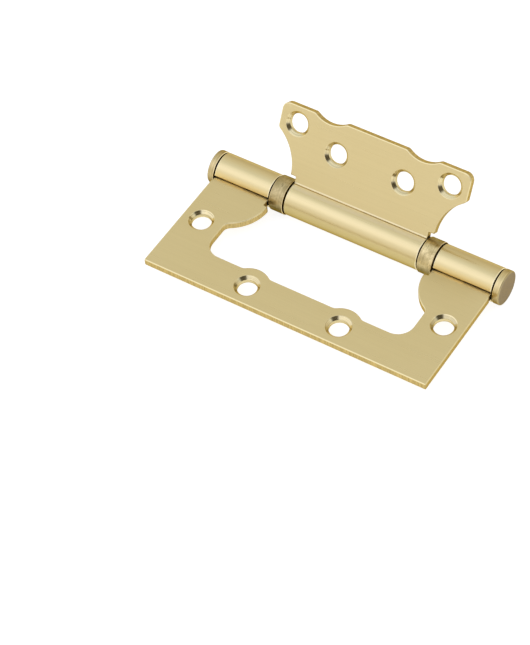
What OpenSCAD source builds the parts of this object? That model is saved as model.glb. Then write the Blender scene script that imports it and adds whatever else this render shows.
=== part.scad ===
// Surface-mounted ball-bearing hinge with nesting leaves, shown part open.
// The pin lies along X with its middle at the origin. The outer leaf is level, reaches towards -Y and
// has its countersunk face up. The inner leaf is swung up and back from the cut-out it closes into.
// Outlines are drawn with u along the pin and v outwards from the pin's axis.

/* [Leaves] */
// Length of the outer leaf along the pin
leaf_len = 100; // [96:0.5:106]
// Reach of the outer leaf, from the pin's axis to its long edge
outer_reach = 44.4; // [43:0.2:48]
// Thickness of the sheet that both leaves are cut and rolled from
sheet_t = 2.5; // [2:0.1:2.8]
// Angle between the leaves as modelled: 0 is closed, 180 is flat open
open_angle = 119; // [30:1:180]

/* [Cut-out in the outer leaf] */
// Width of sheet left between the cut-out and each short edge
end_rail = 14; // [13:0.1:15]
// Width of sheet left between the cut-out and the long edge
far_rail = 11.9; // [11.2:0.05:12.4]
// Radius of the cut-out's two far corners
cut_corner_r = 5.4; // [3:0.1:6.5]
// Radius of the tongues that flank the cut-out beside the barrel
tongue_r = 13.6; // [12.5:0.1:15]
// How far each tongue passes the face of its knuckle
tongue_reach = 1.45; // [0.5:0.05:2]
// Distance of the tongue arc's centre from the pin's axis
tongue_centre_v = 7.6; // [6.5:0.1:9]
// Radius of the bumps round the two screw holes in the long rail
bump_r = 7.2; // [6.8:0.1:7.8]
// Radius that blends an arc of the cut-out into a straight edge
blend_r = 2.5; // [1:0.1:3]

/* [Inner leaf] */
// Gap between the closed leaves at the two short sides
side_gap = 2.65; // [1.5:0.05:3]
// Gap between the closed leaves at the long side
far_gap = 2.35; // [1.8:0.05:3.2]
// Gap between the closed leaves along the tongues
tongue_gap = 2.4; // [1.5:0.05:2.8]
// Gap between the closed leaves round the bumps
bump_gap = 2.4; // [1.8:0.05:3]
// Radius of the inner leaf's two far corners
inner_corner_r = 2.6; // [1.5:0.1:3.5]
// Radius that softens the other corners of the inner leaf
inner_blend_r = 1.6; // [0.6:0.1:2.2]

/* [Barrel] */
// Diameter of the pin
pin_d = 6; // [5:0.1:6.6]
// Radial clearance between the pin and the rolled knuckles
pin_clear = 0.05; // [0.02:0.01:0.1]
// Length of the inner leaf's single middle knuckle
mid_knuckle_len = 47.75; // [44:0.25:50]
// Length by which the outer knuckles' ends are faced back from the leaf's short edges
knuckle_trim = 0.25; // [0.05:0.05:0.5]
// How far that facing runs out past the barrel
trim_reach = 0.5; // [0.2:0.1:1]
// Open seam between the rolled edge and the face of the sheet
seam_gap = 0.3; // [0.15:0.05:0.5]
// Angle at which the seam runs down from the leaf's face into the roll
seam_tilt = 2; // [1:0.5:4]
// Radius that rounds the corner of the rolled edge
roll_edge_r = 0.5; // [0.2:0.05:0.8]
// Radius of the fine groove where the other face turns into the barrel
crease_r = 0.2; // [0.1:0.05:0.4]
// Radius that rounds the outer edges of the knuckles' ends
knuckle_edge_r = 0.2; // [0.1:0.05:0.4]
// Room between the bearing shells and the sheet beside them
ring_notch = 1.85; // [1.4:0.05:2.2]

/* [End caps] */
// Diameter of a cap's head
cap_d = 11.2; // [10.6:0.1:12]
// Thickness of a cap's head
cap_t = 2.25; // [1.6:0.05:3]
// Chamfer round a cap's outer face
cap_chamfer = 0.35; // [0.2:0.05:0.6]
// Chamfer round the edge of a cap that faces its knuckle
cap_back_chamfer = 0.2; // [0.1:0.05:0.4]
// Chamfer that leads the plug into the knuckle
plug_chamfer = 0.4; // [0.2:0.05:0.8]
// Gap between a cap's head and its knuckle
cap_gap = 0.4375; // [0.1875:0.0625:0.625]
// Diameter of the neck that seats on the knuckle
neck_d = 9; // [8:0.1:9.8]
// Length of the plug that is pressed into the knuckle
plug_len = 6; // [4:0.5:9]
// Radial difference between the plug and the knuckle's bore
plug_clear = 0.02; // [0.01:0.01:0.04]

/* [Bearings] */
// Outer diameter of the bearing shell
ring_d = 11.7; // [11.4:0.1:12.2]
// Width of the bearing shell
ring_w = 4.875; // [4.75:0.125:5.375]
// Gap between the shell and the knuckle at each end
ring_gap = 0.4375; // [0.1875:0.0625:0.5]
// Wall of the shell
shell_wall = 0.7; // [0.5:0.05:0.85]
// Thickness of the lips that are turned in over the races
lip_t = 0.4; // [0.3:0.05:0.5]
// Chamfer round the outside edges of the shell
ring_chamfer = 0.15; // [0.05:0.05:0.3]
// Diameter of a bearing ball
ball_d = 2; // [1.8:0.05:2.05]
// Number of balls in each bearing
ball_count = 12; // [8:1:12]
// Clearance between a ball and each race
ball_clear = 0.03; // [0.01:0.01:0.05]
// Depth of the groove that the balls run in
groove_depth = 0.35; // [0.2:0.05:0.4]
// Radius of that groove's section
groove_r = 1.1; // [1.08:0.01:1.2]
// Diameter of the raised face by which a race bears on its knuckle
race_hub_d = 8.8; // [8.4:0.1:9]
// Clearance of a race from the pin, the shell and the shell's lips
race_clear = 0.08; // [0.04:0.01:0.1]

/* [Screw holes] */
// Diameter of the screw holes
hole_d = 6.3; // [5:0.1:6.8]
// Diameter of the 90 degree countersinks
sink_d = 8.3; // [7.6:0.1:9]
// Break on the rim of each hole at the plain face
rim_break = 0.25; // [0.1:0.05:0.4]
// Inset of the corner holes from the outer leaf's short edges
corner_hole_inset = 6.6; // [6:0.1:7.6]
// Distance of the corner holes from the pin's axis
corner_hole_v = 22.3; // [20:0.05:26]
// Distance between the two holes in the long rail
rail_hole_gap = 32.7; // [30:0.1:36]
// Inset of those holes from the long edge
rail_hole_inset = 6.5; // [5.8:0.1:6.9]
// Inset of the inner leaf's outer holes from its short sides
wing_hole_side = 6.3; // [6.1:0.1:7.5]
// Inset of the inner leaf's outer holes from its long side
wing_hole_far = 5.75; // [5.5:0.05:7]
// Distance between the inner leaf's two middle holes
mid_hole_gap = 23.8; // [20:0.1:26]
// Inset of those middle holes from the long side
mid_hole_far = 10.5; // [9.5:0.05:12]

/* [Hidden] */
$fn = 96;
// Overshoot of a cut past the face it opens
past = 0.5;
// Depth to which a blend's circle crosses the arc that it blends
lap = 0.001;
pin_r = pin_d / 2;
bore_r = pin_r + pin_clear;
barrel_r = bore_r + sheet_t;
ring_r = ring_d / 2;
mid_half = mid_knuckle_len / 2;
bearing_room = ring_w + 2 * ring_gap;
knuckle_start = mid_half + bearing_room;
knuckle_end = leaf_len / 2 - knuckle_trim;
notch_v = ring_r + ring_notch;

cut_half = leaf_len / 2 - end_rail;
cut_v = outer_reach - far_rail;
tongue_centre = [knuckle_start - tongue_reach + tongue_r, tongue_centre_v];
inner_half = cut_half - side_gap;
inner_v = cut_v - far_gap;
scoop_r = tongue_r + tongue_gap;
scallop_r = bump_r + bump_gap;

corner_holes = [leaf_len / 2 - corner_hole_inset, corner_hole_v];
rail_holes = [rail_hole_gap / 2, outer_reach - rail_hole_inset];
wing_holes = [inner_half - wing_hole_side, inner_v - wing_hole_far];
mid_holes = [mid_hole_gap / 2, inner_v - mid_hole_far];

crease_v = sqrt(pow(barrel_r, 2) - pow(sheet_t / 2, 2));

shell_bore_r = ring_r - shell_wall;
race_bore_r = pin_r + race_clear;
race_flange_r = shell_bore_r - race_clear;
race_hub_h = ring_gap + lip_t + race_clear;
race_h = (bearing_room - ball_d) / 2 - ball_clear + groove_depth;
lip_r = race_hub_d / 2 + race_clear;
ball_orbit_r = (pin_r + shell_bore_r) / 2;

brass = [0.80, 0.73, 0.52];
bronze = [0.59, 0.53, 0.36];
cap_tone = [0.62, 0.55, 0.42];
steel = [0.62, 0.62, 0.64];

SIDES = [["left", -1], ["right", 1]];

// Extrudes a section drawn in Y and Z along the pin, from x0 to x1
module along_pin(x0, x1) {
    translate([x0, 0, 0]) rotate([90, 0, 90]) linear_extrude(x1 - x0) children();
}

// Turns a profile of radius and height round the pin, with height 0 at x and growing towards the end caps
module lathe_on_pin(side, x) {
    mirror([side < 0 ? 1 : 0, 0, 0]) translate([x, 0, 0]) rotate([0, 90, 0]) rotate_extrude() children();
}

// Draws the children and their mirror image about the hinge's middle
module both_ends() {
    children();
    mirror([1, 0, 0]) children();
}

// Fillet between an arc and a straight edge at u = edge, on the arc's high (1) or low (-1) side
module blend(centre, arc_r, edge, r, side) {
    at = [edge - r, centre[1] + side * sqrt(pow(arc_r + r - lap, 2) - pow(edge - r - centre[0], 2))];
    corner_v = centre[1] + side * sqrt(pow(arc_r, 2) - pow(edge - centre[0], 2));
    difference() {
        polygon([centre, [edge, corner_v], [edge + past, corner_v], [edge + past, at[1]], [edge, at[1]], at]);
        translate(at) circle(r = r);
    }
}

// The same fillets at both ends of an arc that crosses a straight edge at v = edge
module blend_pair(centre, arc_r, edge, r) {
    for (side = [-1, 1])
        mirror([1, -1, 0]) blend([centre[1], centre[0]], arc_r, edge, r, side);
}

// Block from the pin's axis outwards, with its two far corners rounded
module rounded_block(half, reach, r) {
    difference() {
        translate([-half, -past]) square([2 * half, reach + past]);
        both_ends() difference() {
            translate([half - r, reach - r]) square(r + past);
            translate([half - r, reach - r]) circle(r = r);
        }
    }
}

// Disc of a tongue, carried straight down past the pin's axis
module tongue(r) {
    translate(tongue_centre) circle(r = r);
    translate([tongue_centre[0] - r, -2 * past]) square([2 * r, tongue_centre[1] + 2 * past]);
}

// The opening in the outer leaf that the inner leaf closes into
module cut_out() {
    difference() {
        rounded_block(cut_half, cut_v, cut_corner_r);
        both_ends() {
            tongue(tongue_r);
            blend(tongue_centre, tongue_r, cut_half, blend_r, 1);
            translate(rail_holes) circle(r = bump_r);
            blend_pair(rail_holes, bump_r, cut_v, blend_r);
        }
    }
    translate([-knuckle_start, -past]) square([2 * knuckle_start, notch_v + past]);
}

// Outline of the inner leaf: the cut-out's shape, smaller all round by the gaps
module inner_outline() {
    difference() {
        rounded_block(inner_half, inner_v, inner_corner_r);
        both_ends() {
            tongue(scoop_r);
            blend(tongue_centre, scoop_r, inner_half, inner_blend_r, 1);
            translate(rail_holes) circle(r = scallop_r);
            blend_pair(rail_holes, scallop_r, inner_v, inner_blend_r);
            translate([mid_half, -2 * past]) square([inner_half, notch_v + 2 * past]);
        }
        translate([-inner_half - past, -2 * past]) square([2 * inner_half + 2 * past, 2 * past]);
    }
}

// Flat sheet of the given outline, centred on the pin's axis and reaching towards -Y
module sheet() {
    mirror([0, 1, 0]) translate([0, 0, -sheet_t / 2]) linear_extrude(sheet_t) children();
}

// Countersunk screw holes at a pair of places, sunk from the face that side names
module screw_holes(place, side) {
    sink_h = (sink_d - hole_d) / 2;
    both_ends() translate([place[0], -place[1], 0]) mirror([0, 0, side < 0 ? 1 : 0]) {
        cylinder(d = hole_d, h = sheet_t + 2 * past, center = true);
        translate([0, 0, sheet_t / 2 - sink_h])
            cylinder(d1 = hole_d, d2 = sink_d + 2 * past, h = sink_h + past);
        translate([0, 0, -sheet_t / 2 - past])
            cylinder(d1 = hole_d + 2 * rim_break + 2 * past, d2 = hole_d, h = rim_break + past);
    }
}

// Section of the narrow seam that the rolled edge leaves over the sheet, with that edge's corner rounded off
module seam_section() {
    tilt = seam_tilt;
    axis = [crease_v * cos(tilt) + sheet_t / 2 * sin(tilt), crease_v * sin(tilt) - sheet_t / 2 * cos(tilt)];
    reach = sqrt(pow(barrel_r - roll_edge_r, 2) - pow(seam_gap + roll_edge_r - axis[1], 2));
    at = [axis[0] - reach, seam_gap + roll_edge_r];
    on_barrel = axis + (at - axis) * barrel_r / (barrel_r - roll_edge_r);
    translate([-crease_v, sheet_t / 2]) rotate(-tilt) {
        translate([-past, 0]) square([barrel_r + past, seam_gap]);
        difference() {
            polygon([[at[0], seam_gap / 2], [-past, seam_gap / 2], [-past, on_barrel[1]], on_barrel, at]);
            translate(at) circle(r = roll_edge_r);
        }
    }
}

// Section of the fine groove where the leaf's other face meets the barrel
module crease_section() {
    translate([-crease_v, -sheet_t / 2]) circle(r = crease_r, $fn = 48);
}

// Solid barrel from x0 to x1 with rounded end edges, before its bore, seam and groove are cut
module barrel(x0, x1) {
    r = knuckle_edge_r;
    translate([x0, 0, 0]) rotate([0, 90, 0]) rotate_extrude() {
        square([barrel_r - r, x1 - x0]);
        translate([0, r]) square([barrel_r, x1 - x0 - 2 * r]);
        for (h = [r, x1 - x0 - r]) translate([barrel_r - r, h]) circle(r = r, $fn = 48);
    }
}

// Bore, seam and groove that rolling leaves along one knuckle
module rolled_cuts(x0, x1) {
    along_pin(x0 - past, x1 + past) {
        circle(r = bore_r);
        seam_section();
        crease_section();
    }
}

// Larger leaf, with a rolled knuckle at each end and the cut-out between them
module outer_leaf() {
    color(brass) difference() {
        union() {
            sheet() difference() {
                translate([-leaf_len / 2, 0]) square([leaf_len, outer_reach]);
                cut_out();
                both_ends() translate([knuckle_end, -past])
                    square([knuckle_trim + past, barrel_r + trim_reach + past]);
            }
            both_ends() barrel(knuckle_start, knuckle_end);
        }
        both_ends() rolled_cuts(knuckle_start, knuckle_end);
        screw_holes(corner_holes, 1);
        screw_holes(rail_holes, 1);
    }
}

// Smaller leaf, rolled into the long middle knuckle and swung to the modelled angle
module inner_leaf() {
    color(brass) rotate([-open_angle, 0, 0]) difference() {
        union() {
            sheet() inner_outline();
            barrel(-mid_half, mid_half);
        }
        rolled_cuts(-mid_half, mid_half);
        screw_holes(wing_holes, -1);
        screw_holes(mid_holes, -1);
    }
}

// Plain pin that runs between the plugs of the two caps
module hinge_pin() {
    color(steel) along_pin(plug_len - knuckle_end, knuckle_end - plug_len) circle(r = pin_r);
}

// Turned end cap: head, neck that seats on the knuckle and plug pressed into its bore
module end_cap(side) {
    plug_r = bore_r - plug_clear;
    head_0 = plug_len + cap_gap;
    head_1 = head_0 + cap_t;
    profile = [
        [0, 0], [plug_r - plug_chamfer, 0], [plug_r, plug_chamfer], [plug_r, plug_len],
        [neck_d / 2, plug_len], [neck_d / 2, head_0], [cap_d / 2 - cap_back_chamfer, head_0],
        [cap_d / 2, head_0 + cap_back_chamfer], [cap_d / 2, head_1 - cap_chamfer],
        [cap_d / 2 - cap_chamfer, head_1], [0, head_1]
    ];
    color(cap_tone) lathe_on_pin(side, knuckle_end - plug_len) polygon(profile);
}

// Outer shell of a bearing: a sleeve with a lip turned in at each end
module bearing_shell(side) {
    c = ring_chamfer;
    profile = [
        [lip_r, 0], [ring_r - c, 0], [ring_r, c], [ring_r, ring_w - c], [ring_r - c, ring_w],
        [lip_r, ring_w], [lip_r, ring_w - lip_t], [shell_bore_r, ring_w - lip_t],
        [shell_bore_r, lip_t], [lip_r, lip_t]
    ];
    color(bronze) lathe_on_pin(side, mid_half + ring_gap) polygon(profile);
}

// Section of a grooved race, with its raised face at height 0
module race_section() {
    hub_r = race_hub_d / 2;
    profile = [
        [race_bore_r, 0], [hub_r, 0], [hub_r, race_hub_h], [race_flange_r, race_hub_h],
        [race_flange_r, race_h], [race_bore_r, race_h]
    ];
    difference() {
        polygon(profile);
        translate([ball_orbit_r, race_h - groove_depth + groove_r]) circle(r = groove_r);
    }
}

// Race that bears on the middle knuckle and turns with the inner leaf
module turning_race(side) {
    color(steel) lathe_on_pin(side, mid_half) race_section();
}

// Race that bears on an end knuckle and stays with the outer leaf
module fixed_race(side) {
    color(steel) lathe_on_pin(side, knuckle_start) mirror([0, 1]) race_section();
}

// One ball of a bearing, numbered round its ring
module bearing_ball(side, number) {
    turn = number * 360 / ball_count;
    color(steel)
        translate([side * (mid_half + bearing_room / 2), ball_orbit_r * cos(turn), ball_orbit_r * sin(turn)])
        sphere(d = ball_d);
}

outer_leaf();
inner_leaf();
hinge_pin();
for (s = SIDES) {
    end_cap(s[1]);
    bearing_shell(s[1]);
    fixed_race(s[1]);
    turning_race(s[1]);
    for (i = [1:ball_count])
        bearing_ball(s[1], i);
}
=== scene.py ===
"""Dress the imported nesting-leaf hinge: leaves, caps, bearing shells, studio and camera.

Sizes are in millimetres in the classes and become metres where a mesh is written. Outlines are drawn
with u along the pin and v outwards from the pin's axis, as in the part's source, and the frame is X
along the pin, -Y towards the outer leaf's long edge and +Z out of its countersunk face. The finishes
measure places in metres.
"""

import logging
import math
from collections.abc import Callable
from dataclasses import dataclass, field
from enum import Enum

import bmesh
import bpy
from mathutils import Matrix, Vector


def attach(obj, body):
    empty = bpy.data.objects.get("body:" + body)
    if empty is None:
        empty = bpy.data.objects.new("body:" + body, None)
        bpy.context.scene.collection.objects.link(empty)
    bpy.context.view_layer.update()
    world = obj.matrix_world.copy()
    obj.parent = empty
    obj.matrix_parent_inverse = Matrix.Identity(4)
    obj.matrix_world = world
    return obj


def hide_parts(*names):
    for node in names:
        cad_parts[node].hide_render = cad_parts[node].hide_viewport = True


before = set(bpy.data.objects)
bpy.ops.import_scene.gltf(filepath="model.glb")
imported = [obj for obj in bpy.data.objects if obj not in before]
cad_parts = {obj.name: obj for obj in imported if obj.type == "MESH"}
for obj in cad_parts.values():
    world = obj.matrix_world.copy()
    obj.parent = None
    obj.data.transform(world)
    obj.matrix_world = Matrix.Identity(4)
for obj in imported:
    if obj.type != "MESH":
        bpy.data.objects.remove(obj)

LOG = logging.getLogger("hinge")
MM = 0.001

# Angle in degrees from which an edge counts as sharp
SHARP = 30.0
# Parts of a normal along an axis: over SQUARE a face looks along it, under STEEP it stands beside it
SQUARE = 0.97
STEEP = 0.3
# Depth of a surface, length of an edge that isn't a fillet's, and two distances that count as none
SKIN = 0.15
LONG = 1.0
SNUG = 0.01
MERGE = 1e-4
# Share of a small chamfer at which its middle point stands
EASE = 0.3

Point = tuple[float, float]
Triple = tuple[float, float, float]
Colour = tuple[float, float, float]
# Values at which a soft-ended strip starts, is full, fades and ends
Strip = tuple[float, float, float, float]
Edges = list[bmesh.types.BMEdge]
Socket = bpy.types.NodeSocket
Value = float | Colour | Vector | Socket
# Colour, roughness and height of a surface
Looks = tuple[Socket, Socket, Socket]

WHITE: Colour = (1, 1, 1)


class Side(Enum):
    """End of the hinge that a turned piece sits at."""

    LEFT = -1
    RIGHT = 1

    @property
    def word(self) -> str:
        """Word that starts the names of this side's pieces."""
        return self.name.lower()


class Face(Enum):
    """Face of a leaf as built closed: the one with the seam, or the one with the crease."""

    UPPER = 1
    LOWER = -1


class Region(Enum):
    """Kind of surface: plain face, sheared wall, rounded edge, machined cut or inside of a gap."""

    PLAIN = 0
    WALL = 1
    EDGE = 2
    CUT = 3
    GAP = 4


def arc(centre: Point, radius: float, start: float, end: float, step: float = 6.0) -> list[Point]:
    """Points along an arc, both ends included.

    Args:
        centre: Centre of the arc.
        radius: Radius of the arc.
        start: Angle of the first point in degrees.
        end: Angle of the last point in degrees, less than start for a clockwise arc.
        step: Largest angle between two points.

    Returns:
        The points from start to end.
    """
    count = max(2, math.ceil(abs(end - start) / step) + 1)
    angles = [math.radians(start + (end - start) * i / (count - 1)) for i in range(count)]
    return [(centre[0] + radius * math.cos(a), centre[1] + radius * math.sin(a)) for a in angles]


def angle_of(point: Vector) -> float:
    """Angle of a point seen from the pin's axis, in degrees."""
    return math.degrees(math.atan2(point.y, point.x))


def mirrored(half: list[Point]) -> list[Point]:
    """The same points on the other side of u = 0, in reverse order."""
    return [(-u, v) for u, v in reversed(half)]


@dataclass(frozen=True)
class Sheet:
    """Brass sheet and the roll that both leaves share."""

    thickness: float = 2.5
    pin_r: float = 3.0
    pin_clear: float = 0.05
    seam_gap: float = 0.3
    seam_tilt: float = 2.0
    roll_edge_r: float = 0.5
    crease_r: float = 0.12
    root_v: float = 6.2
    edge_soft: float = 0.28

    @property
    def half(self) -> float:
        """Half of the sheet's thickness."""
        return self.thickness / 2

    @property
    def bore_r(self) -> float:
        """Radius inside the roll."""
        return self.pin_r + self.pin_clear

    @property
    def barrel_r(self) -> float:
        """Radius outside the roll."""
        return self.bore_r + self.thickness

    def section(self) -> list[Point]:
        """Section of a rolled knuckle, as points of v and z, without the closing edge at the root.

        Returns:
            The outline from the root on the seam's face, through the bore and round the barrel, to the
            root on the creased face.
        """
        face, edge_r, tilt = self.half, self.roll_edge_r, math.radians(self.seam_tilt)
        crease_v = math.sqrt(self.barrel_r**2 - face**2)
        mouth = Vector((crease_v, face))
        inwards = Vector((-math.cos(tilt), -math.sin(tilt)))
        upwards = Vector((-math.sin(tilt), math.cos(tilt)))
        pin = Vector((-mouth.dot(inwards), -mouth.dot(upwards)))
        lip_z = self.seam_gap + edge_r
        lip_x = pin.x - math.sqrt((self.barrel_r - edge_r) ** 2 - (lip_z - pin.y) ** 2)
        lip = mouth + inwards * lip_x + upwards * lip_z
        floor_angle = angle_of(self.into_bore(mouth, inwards))
        lid_angle = angle_of(self.into_bore(mouth + upwards * self.seam_gap, inwards))
        bite = math.degrees(2 * math.asin(self.crease_r / 2 / self.barrel_r))
        crease_angle = 360 - math.degrees(math.asin(face / self.barrel_r)) - bite
        turn = math.radians(crease_angle)
        met = Vector((self.barrel_r * math.cos(turn) - crease_v, self.barrel_r * math.sin(turn) + face))
        return [
            (self.root_v, face),
            tuple(mouth),
            *arc((0, 0), self.bore_r, floor_angle, lid_angle - 360, step=5),
            *arc(tuple(lip), edge_r, self.seam_tilt - 90, angle_of(lip), step=10),
            *arc((0, 0), self.barrel_r, angle_of(lip), crease_angle, step=3)[1:],
            *arc((crease_v, -face), self.crease_r, angle_of(met) % 360, 0, step=16)[1:],
            (self.root_v, -face),
        ]

    def into_bore(self, origin: Vector, way: Vector) -> Vector:
        """Point at which a line runs into the bore.

        Args:
            origin: Point on the line, outside the bore.
            way: Direction of the line, of length 1.

        Returns:
            The first point on the bore's circle.
        """
        along = origin.dot(way)
        return origin + way * (-along - math.sqrt(along**2 - origin.length_squared + self.bore_r**2))


@dataclass(frozen=True)
class Nest:
    """One of the two matching outlines: the outer leaf's cut-out, or the inner leaf that closes into it.

    The inner leaf's arcs run round the outer leaf's tongues and bumps, so both have the same centres.
    """

    root_half: float
    half: float
    reach: float
    corner_r: float
    tongue_r: float
    bump_r: float
    blend_r: float
    notch_v: float = 7.7
    tongue_centre: Point = (41.775, 7.6)
    bump_centre: Point = (16.35, 37.9)

    def right_half(self, root_v: float) -> list[Point]:
        """Outline from the barrel round to the middle of the long edge.

        Args:
            root_v: Distance from the pin's axis at which the outline starts.

        Returns:
            The points for u of 0 and more, the last one short of the middle.
        """
        r, (tongue_u, tongue_v) = self.blend_r, self.tongue_centre
        rise = self.notch_v - tongue_v
        start = math.degrees(math.atan2(rise, -math.sqrt(self.tongue_r**2 - rise**2)))
        across = self.half - r - tongue_u
        up = math.sqrt((self.tongue_r + r) ** 2 - across**2)
        lean = math.degrees(math.atan2(up, across))
        bump_u, bump_v = self.bump_centre
        drop = self.reach - r - bump_v
        aside = math.sqrt((self.bump_r + r) ** 2 - drop**2)
        tilt = math.degrees(math.atan2(-drop, aside))
        corner = (self.half - self.corner_r, self.reach - self.corner_r)
        return [
            (self.root_half, root_v),
            (self.root_half, self.notch_v),
            *arc(self.tongue_centre, self.tongue_r, start, lean, step=3),
            *arc((self.half - r, tongue_v + up), r, lean - 180, 0, step=8)[1:],
            *arc(corner, self.corner_r, 0, 90, step=7.5),
            *arc((bump_u + aside, self.reach - r), r, 90, 180 - tilt, step=8),
            *arc(self.bump_centre, self.bump_r, -tilt, tilt - 180, step=5)[1:-1],
            *arc((bump_u - aside, self.reach - r), r, tilt, 90, step=8),
        ]


@dataclass(frozen=True)
class ScrewHole:
    """Countersunk hole with its far rim eased."""

    bore_d: float = 6.3
    sink_d: float = 8.3
    rim_break: float = 0.25
    collar: float = 0.1
    edge_soft: float = 0.07

    def levels(self, half_t: float) -> list[Point]:
        """Radius and height of each circle of the hole, from the sunk face to the plain one.

        Args:
            half_t: Half of the sheet's thickness.

        Returns:
            Pairs of radius and height above the sheet's middle.
        """
        bore, sink = self.bore_d / 2, self.sink_d / 2
        return [
            (sink, half_t),
            (bore, half_t - (sink - bore)),
            (bore, self.rim_break - half_t),
            (bore + self.rim_break, -half_t),
        ]


def loop(bm: bmesh.types.BMesh, points: list[Vector]) -> Edges:
    """Closed loop of edges through points.

    Args:
        bm: Mesh to add to.
        points: Corners of the loop, in order.

    Returns:
        The new edges.
    """
    verts = [bm.verts.new(p) for p in points]
    return [bm.edges.new(pair) for pair in zip(verts, verts[1:] + verts[:1])]


def sharp_edges(bm: bmesh.types.BMesh) -> Edges:
    """Edges at which two faces meet at more than the sharp angle."""
    limit = math.radians(SHARP)
    return [e for e in bm.edges if len(e.link_faces) == 2 and e.calc_face_angle(0) > limit]


def soften(bm: bmesh.types.BMesh, edges: Edges, width: float) -> None:
    """Round edges over.

    Args:
        bm: Mesh to change.
        edges: Edges to round.
        width: Distance that the rounding takes from each face.
    """
    bmesh.ops.bevel(
        bm, geom=edges, offset=width, offset_type="OFFSET", segments=2, profile=0.5,
        affect="EDGES", clamp_overlap=False, material=-1,
    )


def place_object(name: str, data: bpy.types.ID) -> bpy.types.Object:
    """Put a new object in the scene.

    Args:
        name: Name of the object.
        data: Its mesh, lamp or camera.

    Returns:
        The object.
    """
    item = bpy.data.objects.new(name, data)
    bpy.context.scene.collection.objects.link(item)
    return item


def write_piece(
    bm: bmesh.types.BMesh, name: str, region: Callable[[bmesh.types.BMFace], Region], turn: float = 0.0
) -> bpy.types.Object:
    """Scale a millimetre mesh to metres, turn it about the pin and make it a piece of the scene.

    The place of each point before the turn, in metres, is kept as the attribute sheet_place, and the
    region of each face as the attribute region.

    Args:
        bm: Mesh to write, freed afterwards.
        name: Name of the new object.
        region: Gives the region of a face before the turn.
        turn: Angle about +X in degrees.

    Returns:
        The new object, at the origin.
    """
    bmesh.ops.recalc_face_normals(bm, faces=bm.faces)
    places = [c * MM for v in bm.verts for c in v.co]
    regions = [float(region(each).value) for each in bm.faces]
    matrix = Matrix.Rotation(math.radians(turn), 4, "X") @ Matrix.Scale(MM, 4)
    bmesh.ops.transform(bm, matrix=matrix, verts=bm.verts)
    for each in bm.faces:
        each.smooth = True
    mesh = bpy.data.meshes.new(name)
    bm.to_mesh(mesh)
    bm.free()
    mesh.attributes.new("sheet_place", "FLOAT_VECTOR", "POINT").data.foreach_set("vector", places)
    mesh.attributes.new("region", "FLOAT", "FACE").data.foreach_set("value", regions)
    piece = place_object(name, mesh)
    piece.modifiers.new("even_shading", "WEIGHTED_NORMAL").keep_sharp = True
    return piece


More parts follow.
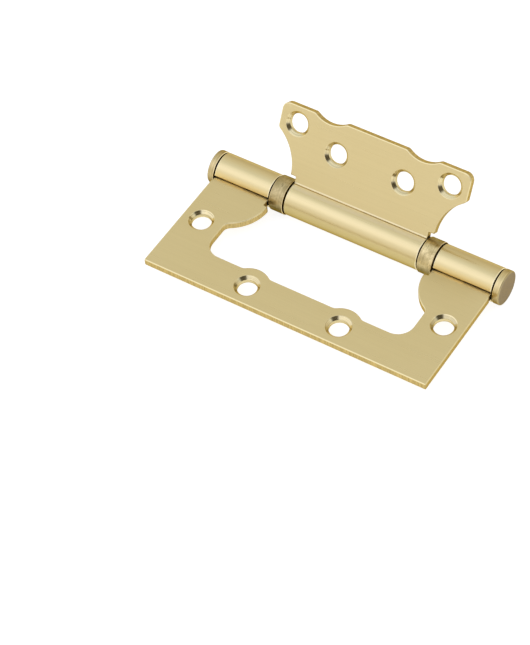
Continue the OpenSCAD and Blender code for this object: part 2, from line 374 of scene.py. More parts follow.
@dataclass(frozen=True)
class Leaf:
    """Flat sheet with countersunk holes, rolled into one or more knuckles."""

    name: str
    body: str
    outline: list[Point]
    knuckles: list[Point]
    holes: list[Point]
    sunk: Face
    swing: float
    sheet: Sheet = field(default_factory=Sheet)
    hole: ScrewHole = field(default_factory=ScrewHole)

    def build(self) -> bpy.types.Object:
        """Make the leaf's mesh with softened edges.

        Returns:
            The leaf, riding on its body and standing for its node.
        """
        bm = bmesh.new()
        half = self.sheet.half
        rims = [loop(bm, [Vector((u, -v, z)) for u, v in self.outline]) for z in (half, -half)]
        bmesh.ops.bridge_loops(bm, edges=rims[0] + rims[1])
        fills = {1: list(rims[0]), -1: list(rims[1])}
        for centre in self.holes:
            self.sink_hole(bm, centre, fills)
        for rim in fills.values():
            bmesh.ops.triangle_fill(bm, use_beauty=True, use_dissolve=False, edges=rim)
        self.open_root(bm)
        for start, end in self.knuckles:
            self.roll(bm, start, end)
        bmesh.ops.remove_doubles(bm, verts=bm.verts, dist=MERGE)
        bmesh.ops.recalc_face_normals(bm, faces=bm.faces)
        outer = [e for e in sharp_edges(bm) if not self.at_hole(e) and not self.at_roll(e)]
        soften(bm, outer, self.sheet.edge_soft)
        soften(bm, [e for e in sharp_edges(bm) if self.at_hole(e)], self.hole.edge_soft)
        piece = write_piece(bm, self.name + "_piece", self.region, -self.swing)
        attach(piece, self.body)
        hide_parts(self.name)
        return piece

    def sink_hole(self, bm: bmesh.types.BMesh, centre: Point, fills: dict[int, Edges]) -> None:
        """Add one hole's walls, and its two rims to the edges that the faces are filled between.

        Args:
            bm: Mesh to add to.
            centre: Place of the hole.
            fills: Rim edges of the upper (1) and lower (-1) face.
        """
        side, (u, v) = self.sunk.value, centre
        circle = arc((0, 0), 1.0, 0, 360)[:-1]
        rings = []
        for radius, z in self.hole.levels(self.sheet.half):
            rings.append(loop(bm, [Vector((u + radius * x, radius * y - v, side * z)) for x, y in circle]))
        for upper, lower in zip(rings, rings[1:]):
            bmesh.ops.bridge_loops(bm, edges=upper + lower)
        fills[side] += rings[0]
        fills[-side] += rings[-1]

    def open_root(self, bm: bmesh.types.BMesh) -> None:
        """Delete the faces that part the flat sheet from its rolls."""
        root = [f for f in bm.faces if all(abs(v.co.y + self.sheet.root_v) < MERGE for v in f.verts)]
        bmesh.ops.delete(bm, geom=root, context="FACES_ONLY")

    def roll(self, bm: bmesh.types.BMesh, start: float, end: float) -> None:
        """Add one knuckle, open towards the flat sheet at its root.

        Args:
            bm: Mesh to add to.
            start: Lower end of the knuckle along the pin.
            end: Upper end of the knuckle.
        """
        rims = []
        for x in (start, end):
            verts = [bm.verts.new((x, -v, z)) for v, z in self.sheet.section()]
            bm.faces.new(verts)
            rims += [bm.edges.get(pair) for pair in zip(verts, verts[1:] + verts[:1])]
        bmesh.ops.bridge_loops(bm, edges=rims)
        self.open_root(bm)

    def in_hole(self, place: Vector) -> bool:
        """Tell whether a place belongs to a screw hole or its rim."""
        reach = self.hole.sink_d / 2 + self.hole.collar
        return any(math.hypot(place.x - u, place.y + v) < reach for u, v in self.holes)

    def at_hole(self, edge: bmesh.types.BMEdge) -> bool:
        """Tell whether an edge belongs to a screw hole."""
        return self.in_hole((edge.verts[0].co + edge.verts[1].co) / 2)

    def at_roll(self, edge: bmesh.types.BMEdge) -> bool:
        """Tell whether an edge runs along the roll, round its bore or into its seam.

        Args:
            edge: Edge of the leaf before it is swung.

        Returns:
            True if it does.
        """
        a, b = (v.co for v in edge.verts)
        if max(a.y, b.y) < SNUG - self.sheet.root_v:
            return False
        inside = min(math.hypot(p.y, p.z) for p in (a, b)) < self.sheet.barrel_r - 2 * SNUG
        return abs(a.x - b.x) > LONG or inside

    def region(self, each: bmesh.types.BMFace) -> Region:
        """Tell a face's kind of surface.

        Args:
            each: Face of the leaf before it is swung.

        Returns:
            The region that the face belongs to.
        """
        middle = each.calc_center_median()
        along, up = abs(each.normal.x), abs(each.normal.z)
        if self.in_hole(middle):
            return Region.CUT if up < SQUARE else Region.PLAIN
        if middle.y > -self.sheet.root_v:
            if along > STEEP:
                return Region.GAP if along > SQUARE else Region.EDGE
            if math.hypot(middle.y, middle.z) > self.sheet.barrel_r - SKIN:
                return Region.PLAIN
        if up > SQUARE:
            return Region.PLAIN
        return Region.WALL if up < STEEP else Region.EDGE


@dataclass(frozen=True)
class Turned:
    """Piece turned about the pin's axis, built for the right end and mirrored for the left."""

    name: str
    body: str
    slot: str
    profile: list[Point]
    start: float
    side: Side
    steps: int = 128

    def build(self) -> bpy.types.Object:
        """Spin the profile about the pin.

        Returns:
            The piece, riding on its body and standing for its node.
        """
        bm = bmesh.new()
        verts = [bm.verts.new(((self.start + h) * self.side.value, r, 0)) for r, h in self.profile]
        pairs = list(zip(verts, verts[1:]))
        if self.profile[0][0] > 0:
            pairs.append((verts[-1], verts[0]))
        edges = [bm.edges.new(pair) for pair in pairs]
        bmesh.ops.spin(
            bm, geom=verts + edges, cent=(0, 0, 0), axis=(1, 0, 0), dvec=(0, 0, 0),
            angle=2 * math.pi, steps=self.steps, use_merge=True, use_duplicate=False,
        )
        bmesh.ops.remove_doubles(bm, verts=bm.verts, dist=MERGE)
        piece = write_piece(bm, self.name + "_piece", self.region)
        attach(piece, self.body)
        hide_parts(self.name)
        return piece

    def region(self, each: bmesh.types.BMFace) -> Region:
        """Tell a face's kind of surface: turned side, chamfer, end face or inside of a gap.

        Args:
            each: Face of the turned piece.

        Returns:
            The region that the face belongs to.
        """
        along, middle = abs(each.normal.x), each.calc_center_median()
        if along < STEEP:
            outside = max(r for r, _ in self.profile) - SKIN
            return Region.PLAIN if math.hypot(middle.y, middle.z) > outside else Region.GAP
        if along < SQUARE:
            return Region.EDGE
        tip = self.start + max(h for _, h in self.profile)
        return Region.WALL if self.profile[0][0] == 0 and abs(middle.x) > tip - SNUG else Region.GAP


@dataclass(frozen=True)
class OuterLeafSizes:
    """Sizes of the outer leaf and of the cut-out in it."""

    length: float = 100.0
    reach: float = 44.4
    knuckle_trim: float = 0.25
    trim_reach: float = 0.6
    corner_hole: Point = (43.4, 22.3)
    nest: Nest = Nest(
        root_half=29.625, half=36.0, reach=32.5, corner_r=5.4, tongue_r=13.6, bump_r=7.2, blend_r=2.5
    )

    def leaf(self) -> Leaf:
        """Lay the outer leaf out.

        Returns:
            The leaf, ready to build.
        """
        half, start, root_v = self.length / 2, self.nest.root_half, Sheet.root_v
        right = self.nest.right_half(root_v)
        end = half - self.knuckle_trim
        left_end = [(-end, root_v), (-half, root_v + self.trim_reach), (-half, self.reach)]
        outline = [*right, *mirrored(right), *left_end, *mirrored(left_end)]
        holes = [(s * u, v) for u, v in (self.corner_hole, self.nest.bump_centre) for s in (-1, 1)]
        knuckles = [(-end, -start), (start, end)]
        return Leaf("outer_leaf", "frame_side", outline, knuckles, holes, Face.UPPER, swing=0.0)


@dataclass(frozen=True)
class InnerLeafSizes:
    """Sizes of the inner leaf, which closes into the outer leaf's cut-out."""

    wing_hole: Point = (27.05, 24.4)
    middle_hole: Point = (11.9, 19.65)
    open_angle: float = 119.0
    nest: Nest = Nest(
        root_half=23.875, half=33.35, reach=30.15, corner_r=2.6, tongue_r=16.0, bump_r=9.6, blend_r=1.6
    )

    def leaf(self) -> Leaf:
        """Lay the inner leaf out.

        Returns:
            The leaf, ready to build.
        """
        right = self.nest.right_half(Sheet.root_v)
        outline = [*right, *mirrored(right)]
        holes = [(s * u, v) for u, v in (self.wing_hole, self.middle_hole) for s in (-1, 1)]
        knuckles = [(-self.nest.root_half, self.nest.root_half)]
        return Leaf("inner_leaf", "door_side", outline, knuckles, holes, Face.LOWER, self.open_angle)


def eased(radius: float, level: float, cut: float) -> list[Point]:
    """Rounded corner of a turned profile, from its lower face to its side."""
    return [(radius - cut, level), (radius - EASE * cut, level + EASE * cut), (radius, level + cut)]


@dataclass(frozen=True)
class EndCap:
    """Turned cap: head, neck that seats on the knuckle, and plug in its bore."""

    head_d: float = 11.2
    head_t: float = 2.25
    chamfer: float = 0.35
    chamfer_middle: Point = (0.25, 0.35)
    face_inset: float = 1.2
    back_chamfer: float = 0.2
    gap: float = 0.4375
    neck_d: float = 9.0
    plug_len: float = 6.0
    plug_r: float = 3.03
    plug_chamfer: float = 0.4
    knuckle_end: float = 49.75

    def profile(self) -> list[Point]:
        """Work out the cap's corners.

        Returns:
            Their radius and height, from the cap's inner end outwards.
        """
        low = self.plug_len + self.gap
        high = low + self.head_t
        head, neck, cut = self.head_d / 2, self.neck_d / 2, self.chamfer
        inwards, down = self.chamfer_middle
        plug = [(0, 0), (self.plug_r - self.plug_chamfer, 0), (self.plug_r, self.plug_chamfer)]
        return [
            *plug,
            (self.plug_r, self.plug_len),
            (neck, self.plug_len),
            (neck, low),
            *eased(head, low, self.back_chamfer),
            (head, high - cut),
            (head - inwards * cut, high - down * cut),
            (head - cut, high),
            (head - self.face_inset, high),
            (0, high),
        ]

    def turned(self, side: Side) -> Turned:
        """The cap of one side, ready to build."""
        start = self.knuckle_end - self.plug_len
        return Turned(f"{side.word}_cap", "frame_side", "cap_brass", self.profile(), start, side)


@dataclass(frozen=True)
class BearingShell:
    """Sleeve with a lip turned in at each end, which covers one ball bearing."""

    outer_d: float = 11.7
    width: float = 4.875
    wall: float = 0.7
    lip_t: float = 0.4
    lip_r: float = 4.48
    edge: float = 0.15
    start: float = 24.3125

    def profile(self) -> list[Point]:
        """Work out the sleeve's corners.

        Returns:
            Their radius and height, round the section.
        """
        radius, width, lip_r, lip_t = self.outer_d / 2, self.width, self.lip_r, self.lip_t
        bore = radius - self.wall
        near = [(lip_r, 0), *eased(radius, 0, self.edge)]
        far = [(r, width - h) for r, h in reversed(near)]
        return [*near, *far, (lip_r, width - lip_t), (bore, width - lip_t), (bore, lip_t), (lip_r, lip_t)]

    def turned(self, side: Side) -> Turned:
        """The shell of one side, ready to build."""
        name = f"{side.word}_bearing_shell"
        return Turned(name, "frame_side", "shell_bronze", self.profile(), self.start, side)


class Graph:
    """Short words for building a node tree."""

    def __init__(self, tree: bpy.types.NodeTree) -> None:
        """Keep the tree that nodes are added to."""
        self.tree = tree

    def add(self, kind: str, inputs: dict[str | int, Value], **settings: object) -> bpy.types.Node:
        """Add a node.

        Args:
            kind: Type name of the node, without the word ShaderNode at its start.
            inputs: Sockets and constants for its inputs, by name or number.
            settings: Properties to set on it.

        Returns:
            The node.
        """
        node = self.tree.nodes.new("ShaderNode" + kind)
        for key, value in settings.items():
            setattr(node, key, value)
        self.feed(node, inputs)
        return node

    def link(self, source: Socket, target: Socket) -> None:
        """Join an output to an input."""
        self.tree.links.new(source, target)

    def feed(self, node: bpy.types.Node, inputs: dict[str | int, Value]) -> None:
        """Join sockets to a node's inputs, or set the inputs to constants, colours opaque.

        Args:
            node: The node.
            inputs: Sockets and constants, by the input's name or number.
        """
        for key, value in inputs.items():
            if isinstance(value, Socket):
                self.link(value, node.inputs[key])
            else:
                node.inputs[key].default_value = (*value, 1) if isinstance(value, tuple) else value

    def math(self, operation: str, a: Value, b: Value = 0.0, clamp: bool = False) -> Socket:
        """One sum on two values.

        Args:
            operation: Name of the sum.
            a: First value or socket.
            b: Second value or socket.
            clamp: Keep the result from 0 to 1.

        Returns:
            The result's socket.
        """
        return self.add("Math", {0: a, 1: b}, operation=operation, use_clamp=clamp).outputs[0]

    def times(self, a: Value, b: Value) -> Socket:
        """Product of two values."""
        return self.math("MULTIPLY", a, b)

    def total(self, start: Value, *parts: tuple[Value, Value], clamp: bool = False) -> Socket:
        """Add several values to a first one, each times its factor.

        Args:
            start: First value or socket.
            parts: Pairs of a value and its factor.
            clamp: Keep the result from 0 to 1.

        Returns:
            The sum's socket.
        """
        for value, factor in parts:
            start = self.math("ADD", start, self.times(value, factor), clamp)
        return start

    def spread(self, value: Value, low: float, high: float) -> Socket:
        """Value from 0 at one end of a range to 1 at the other, smooth and clamped."""
        ends = {"Value": value, "From Min": low, "From Max": high}
        return self.add("MapRange", ends, interpolation_type="SMOOTHSTEP").outputs["Result"]

    def band(self, value: Value, strip: Strip) -> Socket:
        """1 inside a strip of values and 0 outside, with soft ends."""
        start, full, fade, end = strip
        return self.times(self.spread(value, start, full), self.spread(value, end, fade))

    def mix(self, share: Value, a: Value, b: Value) -> Socket:
        """Mix two colours by a share from 0 to 1.

        Args:
            share: Share of b, a value or a socket.
            a: First colour or socket.
            b: Second colour or socket.

        Returns:
            The mixed colour's socket.
        """
        return self.add("Mix", {0: share, 6: a, 7: b}, data_type="RGBA").outputs[2]

    def noise(self, vector: Socket, scale: Value, detail: float, rough: float) -> Socket:
        """Soft noise from 0 to 1.

        Args:
            vector: Coordinates, in metres.
            scale: Number of cells in a metre.
            detail: Number of finer layers.
            rough: Weight of the finer layers.

        Returns:
            The value's socket.
        """
        inputs = {"Vector": vector, "Scale": scale, "Detail": detail, "Roughness": rough}
        return self.add("TexNoise", inputs).outputs["Fac"]

    def axes(self, vector: Socket) -> tuple[Socket, Socket, Socket]:
        """The three numbers of a vector."""
        return tuple(self.add("SeparateXYZ", {0: vector}).outputs)

    def stretched(self, vector: Socket, scales: tuple[Value, Value, Value]) -> Socket:
        """Multiply a vector by three scales.

        Args:
            vector: Vector to stretch.
            scales: Factor along each axis.

        Returns:
            The stretched vector's socket.
        """
        factors = self.add("CombineXYZ", dict(enumerate(scales))).outputs[0]
        return self.add("VectorMath", {0: vector, 1: factors}, operation="MULTIPLY").outputs[0]

    def object_place(self) -> Socket:
        """Place on the object, in metres."""
        return self.add("TexCoord", {}).outputs["Object"]

    def share(self, region: Region) -> Socket:
        """Find the faces of one region through the mesh's region attribute.

        Args:
            region: Region to find.

        Returns:
            1 on its faces and 0 elsewhere.
        """
        code = self.add("Attribute", {}, attribute_name="region").outputs["Fac"]
        off = self.math("ABSOLUTE", self.math("SUBTRACT", code, float(region.value)))
        return self.math("SUBTRACT", 1.0, off, clamp=True)

    def effect(self, name: str, place: Socket, **numbers: float) -> Socket:
        """Use a shared effect.

        Args:
            name: Name of the effect's group.
            place: Coordinates.
            numbers: Values for its other inputs.

        Returns:
            The effect's output.
        """
        inputs = {"Vector": place, **numbers}
        return self.add("Group", inputs, node_tree=bpy.data.node_groups[name]).outputs[0]


@dataclass(frozen=True)
class StudioWorld:
    """Studio surround: a soft box above the front, dimmer behind and below, and a dark flag at the right.

    Each band is an angle in degrees from overhead towards the front, and the light's colour there.
    """

    bands: tuple[tuple[float, Colour], ...] = (
        (-180, (0.60, 0.52, 0.42)),
        (-107, (0.70, 0.63, 0.53)),
        (-80, (0.75, 0.70, 0.61)),
        (-52, (0.85, 0.82, 0.77)),
        (-33, (0.90, 0.90, 0.90)),
        (-10, (0.97, 1.02, 1.14)),
        (8, (1.07, 1.13, 1.35)),
        (31, (1.21, 1.26, 1.60)),
        (58, (1.17, 1.19, 1.35)),
        (80, (1.05, 1.03, 1.05)),
        (110, (0.92, 0.87, 0.77)),
        (150, (0.86, 0.82, 0.72)),
        (180, (0.60, 0.52, 0.42)),
    )
    strength: float = 2.0
    flag: Triple = (0.68, -0.36, 0.64)
    flag_colour: Colour = (0.05, 0.045, 0.035)
    flag_inner: float = 15.0
    flag_outer: float = 31.0

    def build(self) -> None:
        """Make the world."""
        world = bpy.data.worlds.new("studio_surround")
        bpy.context.scene.world = world
        world.use_nodes = True
        world.node_tree.nodes.clear()
        g = Graph(world.node_tree)
        direction = g.add("TexCoord", {}).outputs["Generated"]
        _, back, up = g.axes(direction)
        turn = g.math("ARCTAN2", g.times(back, -1.0), up)
        tone = self.ramp(g, g.math("ADD", g.math("DIVIDE", turn, 2 * math.pi), 0.5))
        both = {0: direction, 1: Vector(self.flag).normalized()}
        towards = g.add("VectorMath", both, operation="DOT_PRODUCT").outputs["Value"]
        inner, outer = (math.cos(math.radians(a)) for a in (self.flag_inner, self.flag_outer))
        tone = g.mix(g.spread(towards, outer, inner), tone, self.flag_colour)
        shade = g.add("Background", {"Color": tone, "Strength": self.strength})
        g.add("OutputWorld", {"Surface": shade.outputs[0]})

    def ramp(self, g: Graph, place: Socket) -> Socket:
        """Colours round the pin's axis.

        Args:
            g: Node tree to add to.
            place: Angle from overhead towards the front, as a share of a turn plus 0.5.

        Returns:
            The colour's socket.
        """
        node = g.add("ValToRGB", {0: place})
        ramp = node.color_ramp
        ramp.interpolation = "CARDINAL"
        for index, (angle, colour) in enumerate(self.bands):
            position = angle / 360 + 0.5
            stop = ramp.elements[index] if index < 1 else ramp.elements.new(position)
            stop.position = position
            stop.color = (*(c / self.strength for c in colour), 1)
        ramp.elements.remove(ramp.elements[-1])
        return node.outputs["Color"]


@dataclass(frozen=True)
class StudioFloor:
    """Pale floor that the hinge lies on, lit up to white for the camera and for reflections."""

    size: float = 40.0
    height: float = -0.00585
    colour: Colour = (0.35, 0.35, 0.35)
    glow: float = 0.84

    def build(self) -> bpy.types.Object:
        """Returns:
            The floor.
        """
        bm = bmesh.new()
        bmesh.ops.create_grid(bm, x_segments=1, y_segments=1, size=self.size / 2)
        bmesh.ops.translate(bm, vec=(0, 0, self.height), verts=bm.verts)
        mesh = bpy.data.meshes.new("studio_floor")
        bm.to_mesh(mesh)
        bm.free()
        mesh.materials.append(self.material())
        floor = place_object("studio_floor", mesh)
        return floor

    def material(self) -> bpy.types.Material:
        """Make the floor's material.

        Returns:
            The material.
        """
        material = bpy.data.materials.new("pale_floor")
        material.use_nodes = True
        material.node_tree.nodes.clear()
        g = Graph(material.node_tree)
        matt = g.add("BsdfDiffuse", {"Color": self.colour})
        path = g.add("LightPath", {}).outputs
        seen = g.math("ADD", path["Is Camera Ray"], path["Is Glossy Ray"])
        seen = g.math("ADD", seen, path["Is Transmission Ray"], clamp=True)
        lift = g.add("Emission", {"Strength": g.times(seen, self.glow)})
        both = g.add("AddShader", {0: matt.outputs[0], 1: lift.outputs[0]})
        g.add("OutputMaterial", {"Surface": both.outputs[0]})
        return material


@dataclass(frozen=True)
class SoftLamp:
    """Large square area lamp aimed at the hinge."""

    name: str
    place: Triple
    width: float
    watts: float

    def build(self) -> bpy.types.Object:
        """Make the lamp.

        Returns:
            The lamp's object.
        """
        data = bpy.data.lights.new(self.name, "AREA")
        data.size = self.width
        data.energy = self.watts
        lamp = place_object(self.name, data)
        lamp.location = self.place
        lamp.rotation_euler = (-Vector(self.place)).to_track_quat("-Z", "Y").to_euler()
        return lamp


@dataclass(frozen=True)
class PhotoCamera:
    """Camera at the photograph's place, fitted to the outlines and holes of the open hinge."""

    place: Triple = (0.2792, -0.4090, 0.5590)
    right: Triple = (0.8397, 0.5375, -0.0775)
    up: Triple = (-0.3762, 0.6786, 0.6308)
    lens: float = 134.64
    sensor: float = 36.0
    near: float = 0.01
    far: float = 20.0

    def build(self) -> bpy.types.Object:
        """Make the camera and give it to the scene.

        Returns:
            The camera's object.
        """
        data = bpy.data.cameras.new("photo_camera")
        data.lens = self.lens
        data.sensor_width = self.sensor
        data.clip_start = self.near
        data.clip_end = self.far
        camera = place_object("photo_camera", data)
        right = Vector(self.right).normalized()
        back = right.cross(Vector(self.up)).normalized()
        turn = Matrix((right, back.cross(right), back)).transposed().to_4x4()
        camera.matrix_world = Matrix.Translation(self.place) @ turn
        bpy.context.scene.camera = camera
        return camera


class Effects:
    """Node groups that the finishes share, each made once."""

    @staticmethod
    def group(name: str, output: str, **inputs: float) -> tuple[Graph, bpy.types.NodeOutputs, Socket]:
        """Start a node group with an input Vector.

        Args:
            name: Name of the group.
            output: Name of its one output, a value.
            inputs: Default of each of its other inputs.

        Returns:
            Its graph, its inputs inside and its output inside.
        """
        tree = bpy.data.node_groups.new(name, "ShaderNodeTree")
        tree.interface.new_socket("Vector", in_out="INPUT", socket_type="NodeSocketVector")
        for title, default in inputs.items():
            socket = tree.interface.new_socket(title, in_out="INPUT", socket_type="NodeSocketFloat")
            socket.default_value = default
        tree.interface.new_socket(output, in_out="OUTPUT", socket_type="NodeSocketFloat")
        entry, leave = tree.nodes.new("NodeGroupInput"), tree.nodes.new("NodeGroupOutput")
        return Graph(tree), entry.outputs, leave.inputs[output]

    @classmethod
    def lines(cls) -> None:
        """Brushed lines along X: Across and Along in cells per metre."""
        g, entry, leave = cls.group("brushed_lines", "Height", Across=5000.0, Along=90.0)
        place = g.stretched(entry["Vector"], (entry["Along"], entry["Across"], entry["Across"]))
        fine = g.noise(place, 1.0, detail=2.0, rough=0.6)
        broad = g.noise(place, 0.23, detail=1.0, rough=0.5)
        g.link(g.total(g.times(fine, 0.6), (broad, 0.4)), leave)

    @classmethod
    def rings(cls) -> None:
        """Turned lines round the X axis: Lines in cells per metre."""
        g, entry, leave = cls.group("turned_lines", "Height", Lines=4000.0)
        along, across, up = g.axes(entry["Vector"])
        square = g.math("ADD", g.math("POWER", across, 2.0), g.math("POWER", up, 2.0))
        spot = g.add("CombineXYZ", {"X": along, "Y": g.math("SQRT", square)}).outputs[0]
        g.link(g.noise(spot, entry["Lines"], detail=3.0, rough=0.7), leave)

    @classmethod
    def specks(cls) -> None:
        """Ragged specks: Cells per metre, Size of a speck in cells and Share of cells with one."""
        g, entry, leave = cls.group("specks", "Mask", Cells=250.0, Size=0.1, Share=0.3)
        cells = g.add("TexVoronoi", {"Vector": entry["Vector"], "Scale": entry["Cells"]}).outputs
        split = g.add("SeparateColor", {0: cells["Color"]})
        ragged = g.noise(entry["Vector"], 2600.0, detail=2.0, rough=0.5)
        distance = g.total(cells["Distance"], (ragged, 0.12))
        far = g.math("DIVIDE", distance, g.math("ADD", entry["Size"], 0.06))
        near = g.math("SUBTRACT", 1.0, far, clamp=True)
        chosen = g.math("LESS_THAN", split.outputs[0], entry["Share"])
        g.link(g.times(g.times(near, g.math("ADD", 0.4, split.outputs[1])), chosen), leave)

    @classmethod
    def mottle(cls) -> None:
        """Cloudy tarnish: Cells per metre."""
        g, entry, leave = cls.group("mottle", "Mask", Cells=400.0)
        cloud = g.noise(entry["Vector"], entry["Cells"], detail=4.0, rough=0.62)
        g.link(g.spread(cloud, 0.36, 0.66), leave)


@dataclass(frozen=True)
class Finish:
    """Start of a metal finish, and what all the finishes share."""

    name: str
    glance: Colour = (0.58, 0.46, 0.25)
    # Near-black colour of the faces inside gaps, painted shade between parts
    gap: Colour = (0.05, 0.035, 0.015)
    depth: float = 0.000004

    def build(self) -> bpy.types.Material:
        """Make the material.

        Returns:
            The material.
        """
        material = bpy.data.materials.new(self.name)
        material.use_nodes = True
        g = Graph(material.node_tree)
        tone, rough, relief = self.paint(g)
        bump = g.add("Bump", {"Height": relief, "Distance": self.depth})
        looks = {
            "Metallic": 1.0,
            "Specular Tint": self.glance,
            # painted shade: faces inside gaps take the near-black colour
            "Base Color": g.mix(g.share(Region.GAP), tone, self.gap),
            "Roughness": rough,
            "Normal": bump.outputs[0],
        }
        g.feed(material.node_tree.nodes["Principled BSDF"], looks)
        return material

    def paint(self, g: Graph) -> Looks:
        """Work out what changes over the surface, apart from the insides of gaps.

        Args:
            g: Node tree to add to.

        Returns:
            Its colour, roughness and height.
        """
        raise NotImplementedError

    @staticmethod
    def shaded(colour: Colour, share: float) -> Colour:
        """A colour made darker."""
        return tuple(c * share for c in colour)

    def worn(self, g: Graph, pattern: Socket, ends: Point, colour: Colour, share: float) -> Socket:
        """A colour that a pattern darkens to a share of itself, from the first end to the second."""
        return g.mix(g.spread(pattern, *ends), self.shaded(colour, share), colour)


@dataclass(frozen=True)
class SheetBrass(Finish):
    """Finely brushed satin brass of the leaves, deeper gold on the sheared walls and, as a painted
    reflection, at the seam.

    The strips, of the roll, the fold, the crease and the seam, are distances from the pin's axis towards
    the leaf's edge in metres, each with the face of the sheet it lies on and its colour. They are painted
    light and shade: a painted highlight on the roll and on the sheet beside the crease, a painted shade
    line in the fold and a painted reflection, darker gold, above the seam. The rounded edges carry a
    painted highlight, and the roll's lower front side painted shade.
    """

    name: str = "satin_brass"
    face: Colour = (0.68, 0.56, 0.28)
    wall: Colour = (0.66, 0.50, 0.20)
    # edge and tip are painted highlight on the rounded edges, tip the brighter one near the roll
    edge: Colour = (0.79, 0.67, 0.36)
    tip: Colour = (1.0, 0.88, 0.54)
    cut: Colour = (0.78, 0.66, 0.36)
    dust: Colour = (0.30, 0.20, 0.09)
    # Painted shade on the lower front side of the roll
    under: Colour = (0.56, 0.45, 0.19)
    # painted light and shade: highlight on the roll, shade line in the fold, highlight beside the crease,
    # reflection above the seam
    strips: tuple[tuple[Strip, Face, Colour], ...] = (
        ((0.0043, 0.0051, 0.00530, 0.00533), Face.LOWER, (0.93, 0.85, 0.60)),
        ((0.00530, 0.00533, 0.00545, 0.00548), Face.LOWER, (0.66, 0.50, 0.21)),
        ((0.00545, 0.00548, 0.0059, 0.0062), Face.LOWER, (0.95, 0.86, 0.58)),
        ((0.0038, 0.0053, 0.0057, 0.0062), Face.UPPER, (0.84, 0.64, 0.26)),
    )
    # Places where the painted shade under the roll grows, by height and by depth, and where it ends
    under_level: Point = (0.0034, 0.0006)
    under_behind: Point = (0.004, -0.002)
    under_end: float = 0.0050
    # Distance from the axis within which edges take the brighter painted highlight
    tip_end: float = 0.0056
    shear_cells: Triple = (3800.0, 3800.0, 300.0)
    lathe_cells: Triple = (30.0, 30.0, 5200.0)
    depth: float = 0.000006

    def paint(self, g: Graph) -> Looks:
        """Lay the sheet's grain, tones, painted light and shade, and dust over each other, by the place
        before the swing.

        Args:
            g: Node tree to add to.

        Returns:
            Its colour, roughness and height.
        """
        place = g.add("Attribute", {}, attribute_name="sheet_place").outputs["Vector"]
        wall, edge = g.share(Region.WALL), g.share(Region.EDGE)
        cut, gap = g.share(Region.CUT), g.share(Region.GAP)
        lines = g.effect("brushed_lines", place, Across=5200.0, Along=40.0)
        cloud = g.effect("mottle", place, Cells=55.0)
        dots = g.effect("specks", place, Cells=210.0, Size=0.07, Share=0.3)
        shear = g.noise(g.stretched(place, self.shear_cells), 1.0, detail=2.0, rough=0.6)
        lathe = g.noise(g.stretched(place, self.lathe_cells), 1.0, detail=2.0, rough=0.6)
        tone = self.worn(g, lines, (0.3, 0.7), self.face, share=0.96)
        tone = g.mix(g.times(cloud, 0.12), tone, g.mix(0.06, self.face, WHITE))
        tone, painted_strips = self.roll_light_and_shade(g, place, tone)
        tone = g.mix(g.times(dots, 0.6), tone, self.dust)
        tone = g.mix(wall, tone, self.worn(g, shear, (0.35, 0.65), self.wall, share=0.72))
        rolled = g.math("GREATER_THAN", g.axes(place)[1], -self.tip_end)
        # painted highlight on the rounded edges, brighter near the roll
        tone = g.mix(edge, tone, g.mix(rolled, self.edge, self.tip))
        tone = g.mix(cut, tone, self.worn(g, lathe, (0.35, 0.6), self.cut, share=0.7))
        rough = g.total(0.25, (lines, 0.07), (wall, 0.08), (painted_strips, 0.2), (gap, 0.4), (cut, -0.1))
        relief = g.total(g.times(lines, 0.12), (shear, wall), (lathe, cut))
        return tone, g.total(rough, (dots, 0.2), clamp=True), relief

    def roll_light_and_shade(self, g: Graph, place: Socket, tone: Socket) -> tuple[Socket, Socket]:
        """Paint highlight and a shade line along the crease, a darker gold reflection at the seam and
        shade under the roll.

        Args:
            g: Node tree to add to.
            place: Place on the sheet before the swing.
            tone: Colour of the sheet elsewhere.

        Returns:
            The colour with this painted light and shade, and the share of the painted strips at crease and
            seam.
        """
        _, inwards, height = g.axes(place)
        _, behind, level = g.axes(g.object_place())
        out = g.times(inwards, -1.0)
        painted_strips = 0.0
        # painted highlight, shade line and reflection in strips along the crease and the seam
        for strip, side, colour in self.strips:
            on_side = g.math("GREATER_THAN", g.times(height, float(side.value)), 0.0)
            share = g.times(g.band(out, strip), on_side)
            tone = g.mix(share, tone, colour)
            painted_strips = g.math("ADD", painted_strips, share, clamp=True)
        # painted shade on the roll's lower front side
        low = g.times(g.spread(level, *self.under_level), g.spread(behind, *self.under_behind))
        low = g.times(low, g.math("LESS_THAN", out, self.under_end))
        return g.mix(low, tone, self.under), painted_strips


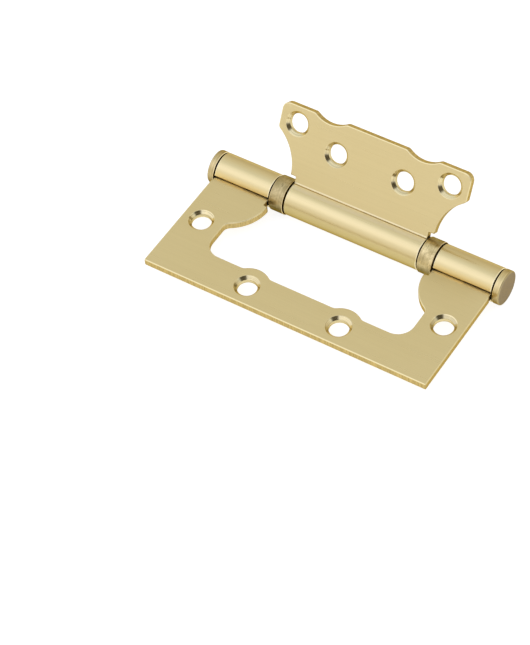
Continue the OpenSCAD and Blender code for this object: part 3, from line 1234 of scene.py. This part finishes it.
@dataclass(frozen=True)
class ShellBronze(Finish):
    """Tarnished bronze of the bearing shells, mottled and scratched, with brown painted shade behind and
    below.

    The left shell is coloured darker, with painted shade at its bottom, and the rims carry a painted
    highlight. The pairs are the places in metres where a change starts and ends.
    """

    name: str = "tarnished_bronze"
    light: Colour = (0.79, 0.64, 0.32)
    dull: Colour = (0.42, 0.33, 0.145)
    # stain colour: real scratches, turned lines and specks, and the painted shade at the left shell's
    # bottom
    stain_and_shade: Colour = (0.08, 0.06, 0.025)
    # Painted highlight on the chamfered rims
    rim: Colour = (0.86, 0.70, 0.38)
    # Places where the brown painted shade behind and below grows
    brown_behind: Point = (0.001, 0.005)
    brown_level: Point = (0.0022, -0.0004)
    # Where the painted shade at the left shell's bottom grows
    sunk_level: Point = (0.0015, -0.001)
    right_to_left: Point = (0.01, -0.01)
    scratch_cells: Triple = (1700.0, 500.0, 900.0)
    depth: float = 0.000008

    def paint(self, g: Graph) -> Looks:
        """Lay the shell's tarnish, specks, scratches, painted shade and painted highlight over each other.

        Args:
            g: Node tree to add to.

        Returns:
            Its colour, roughness and height.
        """
        place = g.object_place()
        sideways, behind, level = g.axes(place)
        cloud = g.effect("mottle", place, Cells=330.0)
        fine = g.effect("mottle", place, Cells=1500.0)
        dots = g.effect("specks", place, Cells=520.0, Size=0.16, Share=0.45)
        lines = g.effect("turned_lines", place, Lines=2600.0)
        streak = g.noise(g.stretched(place, self.scratch_cells), 1.0, detail=3.0, rough=0.6)
        mark = g.times(g.spread(streak, 0.60, 0.72), g.spread(cloud, 0.3, 0.8))
        left = g.spread(sideways, *self.right_to_left)
        # brown painted shade behind and below
        shell_shade = g.spread(level, *self.brown_level)
        shell_shade = g.math("ADD", g.spread(behind, *self.brown_behind), shell_shade, clamp=True)
        # painted shade at the left shell's bottom
        sunk = g.times(g.spread(level, *self.sunk_level), left)
        # real tarnish and marks, with painted shade and the rims' painted highlight among them
        stains_and_shading = (
            (left, 0.4, self.shaded(self.dull, 0.6)),
            (shell_shade, 0.85, self.shaded(self.dull, 0.5)),
            (sunk, 0.6, self.stain_and_shade),
            (fine, 0.4, self.dull),
            (g.spread(lines, 0.45, 0.7), 0.25, self.stain_and_shade),
            (mark, 0.75, self.stain_and_shade),
            (dots, 0.9, self.stain_and_shade),
            # painted highlight on the rims
            (g.share(Region.EDGE), 0.85, self.rim),
        )
        tone = g.mix(cloud, self.dull, self.light)
        for share, most, colour in stains_and_shading:
            tone = g.mix(g.times(share, most), tone, colour)
        rough = g.total(0.3, (fine, 0.08), (mark, 0.2), clamp=True)
        return tone, rough, g.total(g.times(lines, 0.5), (mark, -1.0))


@dataclass(frozen=True)
class TurnedBrass(Finish):
    """Lathe-turned brass of the caps, with a duller end face and painted shade on the back and underside.

    The left cap is coloured darker. The outer chamfer carries a painted highlight and the back chamfer
    painted shade. The pairs are the places in metres where a change starts and ends.
    """

    name: str = "cap_turned_brass"
    side: Colour = (0.74, 0.59, 0.28)
    end: Colour = (0.36, 0.30, 0.22)
    # low is painted shade on the back and underside, and also colours the left cap darker
    low: Colour = (0.28, 0.20, 0.08)
    # rim is painted shade on the back chamfer, lip a painted highlight on the outer chamfer
    rim: Colour = (0.46, 0.37, 0.18)
    lip: Colour = (0.98, 0.82, 0.46)
    speck: Colour = (0.12, 0.09, 0.05)
    # Places where the painted shade on the back and underside grows, and deepens further below
    dim_behind: Point = (0.0, 0.005)
    dim_level: Point = (0.0022, -0.0008)
    sunk_level: Point = (0.0005, -0.002)
    middle_to_left: Point = (0.0, -0.05)
    rim_from: float = 0.0512

    def paint(self, g: Graph) -> Looks:
        """Lay the turned lines, painted shade and highlight, and specks over each other.

        Args:
            g: Node tree to add to.

        Returns:
            Its colour, roughness and height.
        """
        place = g.object_place()
        wall, edge = g.share(Region.WALL), g.share(Region.EDGE)
        sideways, behind, level = g.axes(place)
        lines = g.effect("turned_lines", place, Lines=3600.0)
        cloud = g.effect("mottle", place, Cells=420.0)
        dots = g.effect("specks", place, Cells=420.0, Size=0.09, Share=0.35)
        # painted shade on the back and underside
        cap_shade = g.spread(level, *self.dim_level)
        cap_shade = g.math("ADD", g.spread(behind, *self.dim_behind), cap_shade, clamp=True)
        tone = self.worn(g, lines, (0.36, 0.62), self.side, share=0.68)
        tone = g.mix(g.times(cap_shade, 0.75), tone, self.low)
        tone = g.mix(g.times(g.spread(sideways, *self.middle_to_left), 0.25), tone, self.low)
        # deeper painted shade further below
        tone = g.mix(g.times(g.spread(level, *self.sunk_level), 0.5), tone, self.low)
        tone = g.mix(wall, tone, self.worn(g, lines, (0.3, 0.7), self.end, share=0.88))
        tone = g.mix(g.times(cloud, 0.16), tone, self.shaded(self.side, 0.68))
        tone = g.mix(g.times(dots, 0.5), tone, self.speck)
        # painted highlight on the outer chamfer, painted shade on the back chamfer
        outer = g.math("GREATER_THAN", g.math("ABSOLUTE", sideways), self.rim_from)
        tone = g.mix(edge, tone, g.mix(outer, self.lip, self.rim))
        return tone, g.total(0.24, (lines, 0.12), (wall, 0.15), clamp=True), lines


@dataclass(frozen=True)
class GroundSteel(TurnedBrass):
    """Ground steel of the hidden pin, races and balls."""

    name: str = "ground_steel"
    glance: Colour = (0.9, 0.9, 0.9)
    side: Colour = (0.56, 0.56, 0.55)
    end: Colour = (0.5, 0.5, 0.49)
    low: Colour = (0.45, 0.45, 0.44)
    rim: Colour = (0.62, 0.62, 0.61)
    lip: Colour = (0.62, 0.62, 0.61)


def dress(piece: bpy.types.Object, material: bpy.types.Material) -> None:
    """Give a piece one material in place of those it has."""
    piece.data.materials.clear()
    piece.data.materials.append(material)


def main() -> None:
    """Build the hinge's pieces, the studio and the camera."""
    logging.basicConfig(level=logging.INFO, format="%(name)s: %(message)s")
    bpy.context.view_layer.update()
    bpy.context.scene.view_settings.view_transform = "Standard"
    for effect in (Effects.lines, Effects.rings, Effects.specks, Effects.mottle):
        effect()
    brass, bronze = SheetBrass().build(), ShellBronze().build()
    cap, steel = TurnedBrass().build(), GroundSteel().build()
    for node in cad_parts.values():
        dress(node, steel)
    dressed = [(OuterLeafSizes().leaf(), brass), (InnerLeafSizes().leaf(), brass)]
    for side in Side:
        dressed += [(EndCap().turned(side), cap), (BearingShell().turned(side), bronze)]
    for part, finish in dressed:
        piece = part.build()
        dress(piece, finish)
        LOG.info("%s: %d faces", piece.name, len(piece.data.polygons))
    StudioWorld().build()
    StudioFloor().build()
    SoftLamp("front_soft_box", (-0.45, -0.55, 1.0), width=0.9, watts=0.6).build()
    PhotoCamera().build()


if __name__ == "__main__":
    main()
